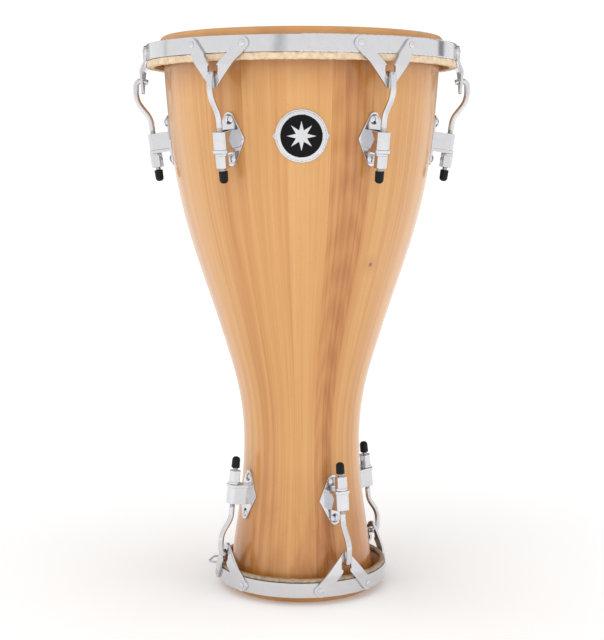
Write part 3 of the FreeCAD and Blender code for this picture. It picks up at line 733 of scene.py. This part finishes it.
class Batch:
    """Several solids gathered into one mesh."""

    def __init__(self):
        self.work = bmesh.new()

    def add(self, part, matrix):
        """Take in a bmesh drawn in millimetres, placed by a matrix in metres."""
        part.transform(matrix @ Matrix.Scale(MM, 4))
        mesh = bpy.data.meshes.new("part")
        part.to_mesh(mesh)
        part.free()
        self.work.from_mesh(mesh)
        bpy.data.meshes.remove(mesh)

    def finish(self, name, body, slot, material, edge, *replaced):
        bmesh.ops.recalc_face_normals(self.work, faces=self.work.faces)
        mesh = bpy.data.meshes.new(name)
        self.work.to_mesh(mesh)
        self.work.free()
        mesh.shade_smooth()
        obj = new_object(name, mesh, body, slot, material, *replaced)
        if edge:
            break_edges(obj, edge)


def prism(loops, low, high):
    """A straight bar along Z with an outline and any holes, in X and Y."""
    part = bmesh.new()
    for z in (low, high):
        edges = []
        for loop in loops:
            ring = [part.verts.new((x, y, z)) for x, y in loop]
            edges += [part.edges.new((ring[i - 1], ring[i])) for i in range(len(ring))]
        bmesh.ops.triangle_fill(part, edges=edges, use_beauty=True)
    verts = list(part.verts)
    half = len(verts) // 2
    start = 0
    for loop in loops:
        for i in range(len(loop)):
            a, b = start + i, start + (i + 1) % len(loop)
            part.faces.new((verts[a], verts[b], verts[half + b], verts[half + a]))
        start += len(loop)
    return part


def turned_bar(outline, turns=36):
    """A solid turned about Z from (radius, height) points that start and end on the axis."""
    part = bmesh.new()
    rings = []
    for r, z in outline:
        if r < 1e-9:
            rings.append([part.verts.new((0, 0, z))] * turns)
        else:
            rings.append([part.verts.new((r * math.cos(TAU * k / turns), r * math.sin(TAU * k / turns), z))
                          for k in range(turns)])
    for lower, upper in zip(rings, rings[1:]):
        for k in range(turns):
            m = (k + 1) % turns
            corners = []
            for vert in (lower[k], lower[m], upper[m], upper[k]):
                if vert not in corners:
                    corners.append(vert)
            part.faces.new(corners)
    return part


def dome(radius, height, base, steps=8):
    """(radius, height) points over a spherical cap, from its edge to its middle."""
    ball = (radius ** 2 + height ** 2) / (2 * height)
    angles = [math.asin(radius / ball) * (1 - k / steps) for k in range(steps + 1)]
    return [(ball * math.sin(a), base + height - ball + ball * math.cos(a)) for a in angles]


def circle(x, y, radius, steps=40):
    angles = [TAU * k / steps for k in range(steps)]
    return [(x + radius * math.cos(a), y + radius * math.sin(a)) for a in angles]


def strap_outline(rise, seat):
    """The V of a strap in (sideways, up), rivets at height 0, with the keyhole that the hook bears in."""
    along = Vector((-STRAP_HALF_SPAN, -rise)).normalized()
    across = Vector((-along.y, along.x))
    half = STRAP_ARM / 2
    rivet = Vector((STRAP_HALF_SPAN, 0))
    outer, inner = rivet + across * half, rivet - across * half
    tip = outer + along * (outer.x / -along.x)
    throat_top = inner + along * ((inner.x - THROAT_HALF) / -along.x)
    throat = seat + POCKET_HEIGHT
    right = [outer - along * half, inner - along * half, throat_top,
             (THROAT_HALF, throat), (POCKET_HALF, throat), (POCKET_HALF, seat)]
    bowl = [(SEAT_R * math.cos(a), seat + SEAT_R * math.sin(a)) for a in np.linspace(0, -math.pi, 17)]
    left = [(-x, y) for x, y in reversed([tuple(p) for p in right])]
    corners = [tuple(tip)] + [tuple(p) for p in right] + bowl + left
    radii = [STRAP_TIP_R, STRAP_END_R, STRAP_END_R] + [0] * (len(corners) - 5) + [STRAP_END_R, STRAP_END_R]
    return [tuple(p) for p in rounded(corners, radii, 10, closed=True)]


def make_straps(head):
    """V-shaped straps cut from sheet, bent out past the hoop and rolled to the band's curve."""
    rivet, rise, crease, joggle, foot, seat = STRAP_SIZES[head.name]
    route = [(0, rivet - STRAP_ARM), crease[::-1], joggle[::-1], foot[::-1]]
    layers = []
    for thickness in (0, STRAP_THICKNESS):
        line = rounded([(r + thickness, d) for r, d in route], [0] + STRAP_BENDS + [0], 8)
        layers.append(np.array(line))
    outline = strap_outline(rise, rivet - seat)
    flat = bmesh.new()
    flat.faces.new([flat.verts.new((y, rivet - up, 0)) for y, up in outline])
    cuts = [((0, d, 0), (0, 1, 0)) for d in np.concatenate([
        np.arange(crease[0] - 4, joggle[0] + 5, BEND_CUTS), np.arange(joggle[0] + 8, foot[0], FOOT_CUTS)])]
    cuts += [((y, 0, 0), (1, 0, 0)) for y in np.arange(-STRAP_REACH, STRAP_REACH + 1, ACROSS_CUTS)]
    for place, normal in cuts:
        bmesh.ops.bisect_plane(flat, geom=flat.verts[:] + flat.edges[:] + flat.faces[:], dist=1e-6,
                               plane_co=place, plane_no=normal)
    bmesh.ops.remove_doubles(flat, verts=flat.verts, dist=MERGE_CUTS)
    flat.verts.index_update()
    batch = Batch()
    band_r = head.band_r / MM
    for lug in head.lugs:
        part = bmesh.new()
        sides = []
        for layer in layers:
            row = []
            for vert in flat.verts:
                r = band_r + np.interp(vert.co.y, layer[:, 1], layer[:, 0])
                row.append(part.verts.new((math.sqrt(r * r - vert.co.x ** 2), vert.co.x,
                                           head.z(vert.co.y * MM) / MM)))
            sides.append(row)
        for face in flat.faces:
            for row in sides:
                part.faces.new([row[v.index] for v in face.verts])
        for edge in flat.edges:
            if edge.is_boundary:
                a, b = (v.index for v in edge.verts)
                part.faces.new((sides[0][a], sides[0][b], sides[1][b], sides[1][a]))
        batch.add(part, Matrix.Rotation(lug.azimuth - math.pi / 2, 4, "Z"))
    flat.free()
    batch.finish(head.name + "_strap_plates", head.rim_body, "chrome", chrome, EDGE_BREAK,
                 head.name + "_straps")


def make_rivets(head):
    """Low domed rivets through each strap and the band."""
    batch = Batch()
    outline = [(0, -RIVET_LENGTH), (RIVET_SHANK_R, -RIVET_LENGTH), (RIVET_SHANK_R, 0), (RIVET_R, 0)]
    outline += dome(RIVET_R, RIVET_DOME - RIVET_RIM, RIVET_RIM)
    spread = math.asin(STRAP_HALF_SPAN / (head.band_r / MM + STRAP_THICKNESS / 2))
    at = Vector((head.band_r + STRAP_THICKNESS * MM, 0, head.z(STRAP_SIZES[head.name][0] * MM)))
    outwards = Matrix.Rotation(math.pi / 2, 4, "Y")
    for lug in head.lugs:
        for side in (-1, 1):
            turn = Matrix.Rotation(lug.azimuth + side * spread - math.pi / 2, 4, "Z")
            batch.add(turned_bar(outline), turn @ Matrix.Translation(at) @ outwards)
    batch.finish(head.name + "_rivet_heads", head.rim_body, "chrome", chrome, 0, head.name + "_rivets")


def make_loop(head):
    """A bent wire loop welded to the band."""
    band_r = head.band_r / MM
    start = math.sqrt(band_r ** 2 - LOOP_HALF ** 2) - LOOP_SINK
    end, half = band_r + LOOP_REACH - LOOP_WIRE_R, LOOP_HALF - LOOP_TAPER
    line = np.array(rounded([(start, LOOP_HALF), (end, half), (end, -half), (start, -LOOP_HALF)],
                            [0, LOOP_CORNER, LOOP_CORNER, 0], 12))
    way = np.gradient(line, axis=0)
    way /= np.linalg.norm(way, axis=1)[:, None]
    height = head.z((head.band[0] + head.band[1]) / 2) / MM
    section = circle(0, 0, LOOP_WIRE_R, LOOP_TURNS)
    part = bmesh.new()
    rings = [[part.verts.new((x - wy * out, y + wx * out, height + up)) for out, up in section]
             for (x, y), (wx, wy) in zip(line, way)]
    for lower, upper in zip(rings, rings[1:]):
        for k in range(LOOP_TURNS):
            part.faces.new((lower[k], lower[k - 1], upper[k - 1], upper[k]))
    part.faces.new(rings[0])
    part.faces.new(rings[-1][::-1])
    batch = Batch()
    batch.add(part, Matrix.Rotation(LOOP_AZIMUTHS[head.name] - math.pi / 2, 4, "Z"))
    batch.finish(head.name + "_wire_loop", head.rim_body, "chrome", chrome, 0, head.name + "_strap_loop")


def make_lug_metal():
    """Brackets, bearing plates and bolts of every lug."""
    brackets, bearings, bolts = Batch(), Batch(), Batch()

    def channel_line(half, depth, corner):
        """Three sides of a U that opens on the shell."""
        return rounded([(BRACKET_GAP, half), (depth, half), (depth, -half), (BRACKET_GAP, -half)],
                       [0, corner, corner, 0], 8)

    outer = channel_line(BRACKET_HALF, BRACKET_DEPTH, BRACKET_CORNER)
    inner = channel_line(*(size - BRACKET_WALL for size in (BRACKET_HALF, BRACKET_DEPTH, BRACKET_CORNER)))
    channel = [tuple(p) for p in outer + inner[::-1]]
    slab = [tuple(p) for p in channel_line(BEARING_HALF, BEARING_DEPTH, BEARING_CORNER)]
    hole = circle(ROD_STAND_OFF / MM, 0, ROD_HOLE_R)
    bolt = [(0, -BOLT_LENGTH), (BOLT_R, -BOLT_LENGTH), (BOLT_R, -BOLT_SKIRT), (BOLT_HEAD_R, -BOLT_SKIRT)]
    bolt += dome(BOLT_HEAD_R, BOLT_HEAD, 0, 12)
    for head in heads:
        for lug in head.lugs:
            brackets.add(prism([channel], BRACKET_FOOT, BRACKET_TOP), lug.matrix)
            bearings.add(prism([slab, hole], BRACKET_FOOT - BEARING_THICKNESS, BRACKET_FOOT), lug.matrix)
            for along in (-BOLT_AT, BOLT_AT):
                at = Matrix.Translation((PLATE_THICKNESS * MM, 0, along * MM))
                bolts.add(turned_bar(bolt), lug.matrix @ at @ Matrix.Rotation(math.pi / 2, 4, "Y"))
    brackets.finish("lug_channels", "shell", "chrome", chrome, EDGE_BREAK, "lug_brackets")
    bearings.finish("lug_seats", "shell", "chrome", chrome, EDGE_BREAK, "lug_bearing_plates")
    bolts.finish("lug_round_heads", "shell", "chrome", chrome, FINE_EDGE_BREAK, "lug_bolts")


def make_cap(lug):
    """A soft cap with a rounded end, pushed on the rod's tail."""
    tail = CAP_START + CAP_LENGTH
    bore, floor = ROD_R / MM, ROD_TAIL / MM
    line = rounded([(bore, -CAP_START), (CAP_R, -CAP_START), (CAP_R - CAP_TAPER, -tail), (0, -tail)],
                   [0, CAP_MOUTH_R, CAP_END_R, 0], 8)
    outline = [(0, -floor), (bore, -floor)] + [tuple(p) for p in line]
    batch = Batch()
    batch.add(turned_bar(outline, 48), lug.matrix @ Matrix.Translation((ROD_STAND_OFF, 0, 0)))
    name = "%s_rod_cap_%d" % (lug.head.name, lug.number)
    batch.finish(name + "_soft", "%s_rod_%d_assembly" % (lug.head.name, lug.number), "cap_rubber", rubber,
                 FINE_EDGE_BREAK, name)


for head in heads:
    make_straps(head)
    make_rivets(head)
    make_loop(head)
    for lug in head.lugs:
        make_cap(lug)
make_lug_metal()


# ---- CAD nodes that keep their shape -----------------------------------------------------------
finish_of = {"chrome": chrome, "inner_steel": steel, "cap_rubber": rubber, "badge_enamel": enamel,
             "shell_wood": wood, "skin": skin, "rawhide": rawhide["top"]}
slot_of = {s["node"]: s["material_slot"] for s in frame["record"]["subparts"]}

for name, node in frame["nodes"].items():
    node.data.materials.clear()
    node.data.materials.append(finish_of[slot_of[name]])
    if name.endswith(("_lug_plates", "_band")) or "_tuning_nut_" in name:
        break_edges(node, EDGE_BREAK)
    elif name in ("badge_ring", "badge_emblem"):
        break_edges(node, FINE_EDGE_BREAK)


# ---- stage -------------------------------------------------------------------------------------
FLOOR_HALF = 60.0
NEAR_FLOOR, FAR_FLOOR = 0.12, 0.9        # from the drum's axis; the floor brightens to a seamless white
NEAR_GLOW, FAR_GLOW = 0.12, 0.35
WORLD_STRENGTH = 1.06
AIM = (0, 0, 0.3)
LAMPS = {"key": ((-1.3, -1.6, 1.6), 1.7, 9.0), "fill": ((1.8, -1.2, 0.9), 1.1, 4.0)}     # place, size, power
# Brightness of the studio round the drum, from +Y by -X, -Y and +X to +Y, and from level to overhead.
FLAGS_ROUND = [(0.0, 0.3), (0.07, 0.3), (0.09, 1.0), (0.165, 1.0), (0.175, 0.7), (0.185, 1.0), (0.44, 1.0),
               (0.455, 0.55), (0.47, 1.0), (0.825, 1.0), (0.832, 0.3), (0.85, 0.3), (0.857, 1.0),
               (0.91, 1.0), (0.93, 0.3)]
FLAGS_ABOVE = [(0.0, 1.0), (0.80, 1.0), (0.86, 0.45), (0.93, 0.45), (0.97, 1.0)]


def soft_light(name, place, size, power):
    lamp = bpy.data.lights.new(name, "AREA")
    lamp.shape, lamp.size, lamp.size_y, lamp.energy = "RECTANGLE", size, size, power
    obj = link(name, lamp)
    obj.location = place
    obj.visible_glossy = False       # the chrome shows the even studio, not the lamps
    obj.rotation_euler = (Vector(AIM) - Vector(place)).to_track_quat("-Z", "Y").to_euler()


def make_world():
    """White to the camera; to everything else a white studio with dark flags for the chrome to show."""
    n = Nodes("studio", bpy.data.worlds)
    background = n.tree.nodes["Background"]
    ways = n.add("ShaderNodeSeparateXYZ", {"Vector": n.add("ShaderNodeTexCoord").outputs["Generated"]})
    x, y, z = (ways.outputs[name] for name in "XYZ")
    round_about = n.math("DIVIDE", n.math("ARCTAN2", x, n.math("MULTIPLY", y, -1.0)), TAU)
    round_about = n.math("ADD", round_about, 0.5)
    flags, above = (n.ramp(factor, [(at, grey(value)) for at, value in stops])
                    for factor, stops in ((round_about, FLAGS_ROUND), (z, FLAGS_ABOVE)))
    shown = n.mix(1.0, flags, above, "MULTIPLY")
    seen = n.add("ShaderNodeLightPath").outputs["Is Camera Ray"]
    n.put(n.mix(seen, shown, grey(1.0)), background.inputs["Color"])
    background.inputs["Strength"].default_value = WORLD_STRENGTH
    bpy.context.scene.world = n.material


def make_stage():
    s = FLOOR_HALF
    floor = mesh_from("floor", [(-s, -s, 0), (s, -s, 0), (s, s, 0), (-s, s, 0)], [(0, 1, 2, 3)])
    obj = link("floor", floor)
    n = Nodes("floor_white")
    away = n.add("ShaderNodeVectorMath", {0: n.place}, operation="LENGTH").outputs["Value"]
    n.set(Base_Color=(0.95, 0.95, 0.95, 1), Roughness=0.9, Emission_Color=(1, 1, 1, 1),
          Emission_Strength=n.remap(away, NEAR_FLOOR, FAR_FLOOR, NEAR_GLOW, FAR_GLOW))
    floor.materials.append(n.material)
    make_world()
    for name, lamp in LAMPS.items():
        soft_light(name, *lamp)


make_stage()


# ---- camera ------------------------------------------------------------------------------------
CAMERA_ASIDE = 0.0005
CAMERA_BACK = 1.6151
CAMERA_HEIGHT = 0.4959
CAMERA_PITCH = math.radians(6.637)
CAMERA_LENS = 79.514
camera = link("camera", bpy.data.cameras.new("camera"))
camera.location = (CAMERA_ASIDE, -CAMERA_BACK, CAMERA_HEIGHT)
camera.rotation_euler = (math.pi / 2 - CAMERA_PITCH, 0, 0)
camera.data.lens = CAMERA_LENS
bpy.context.scene.camera = camera
bpy.context.scene.view_settings.view_transform = "Standard"
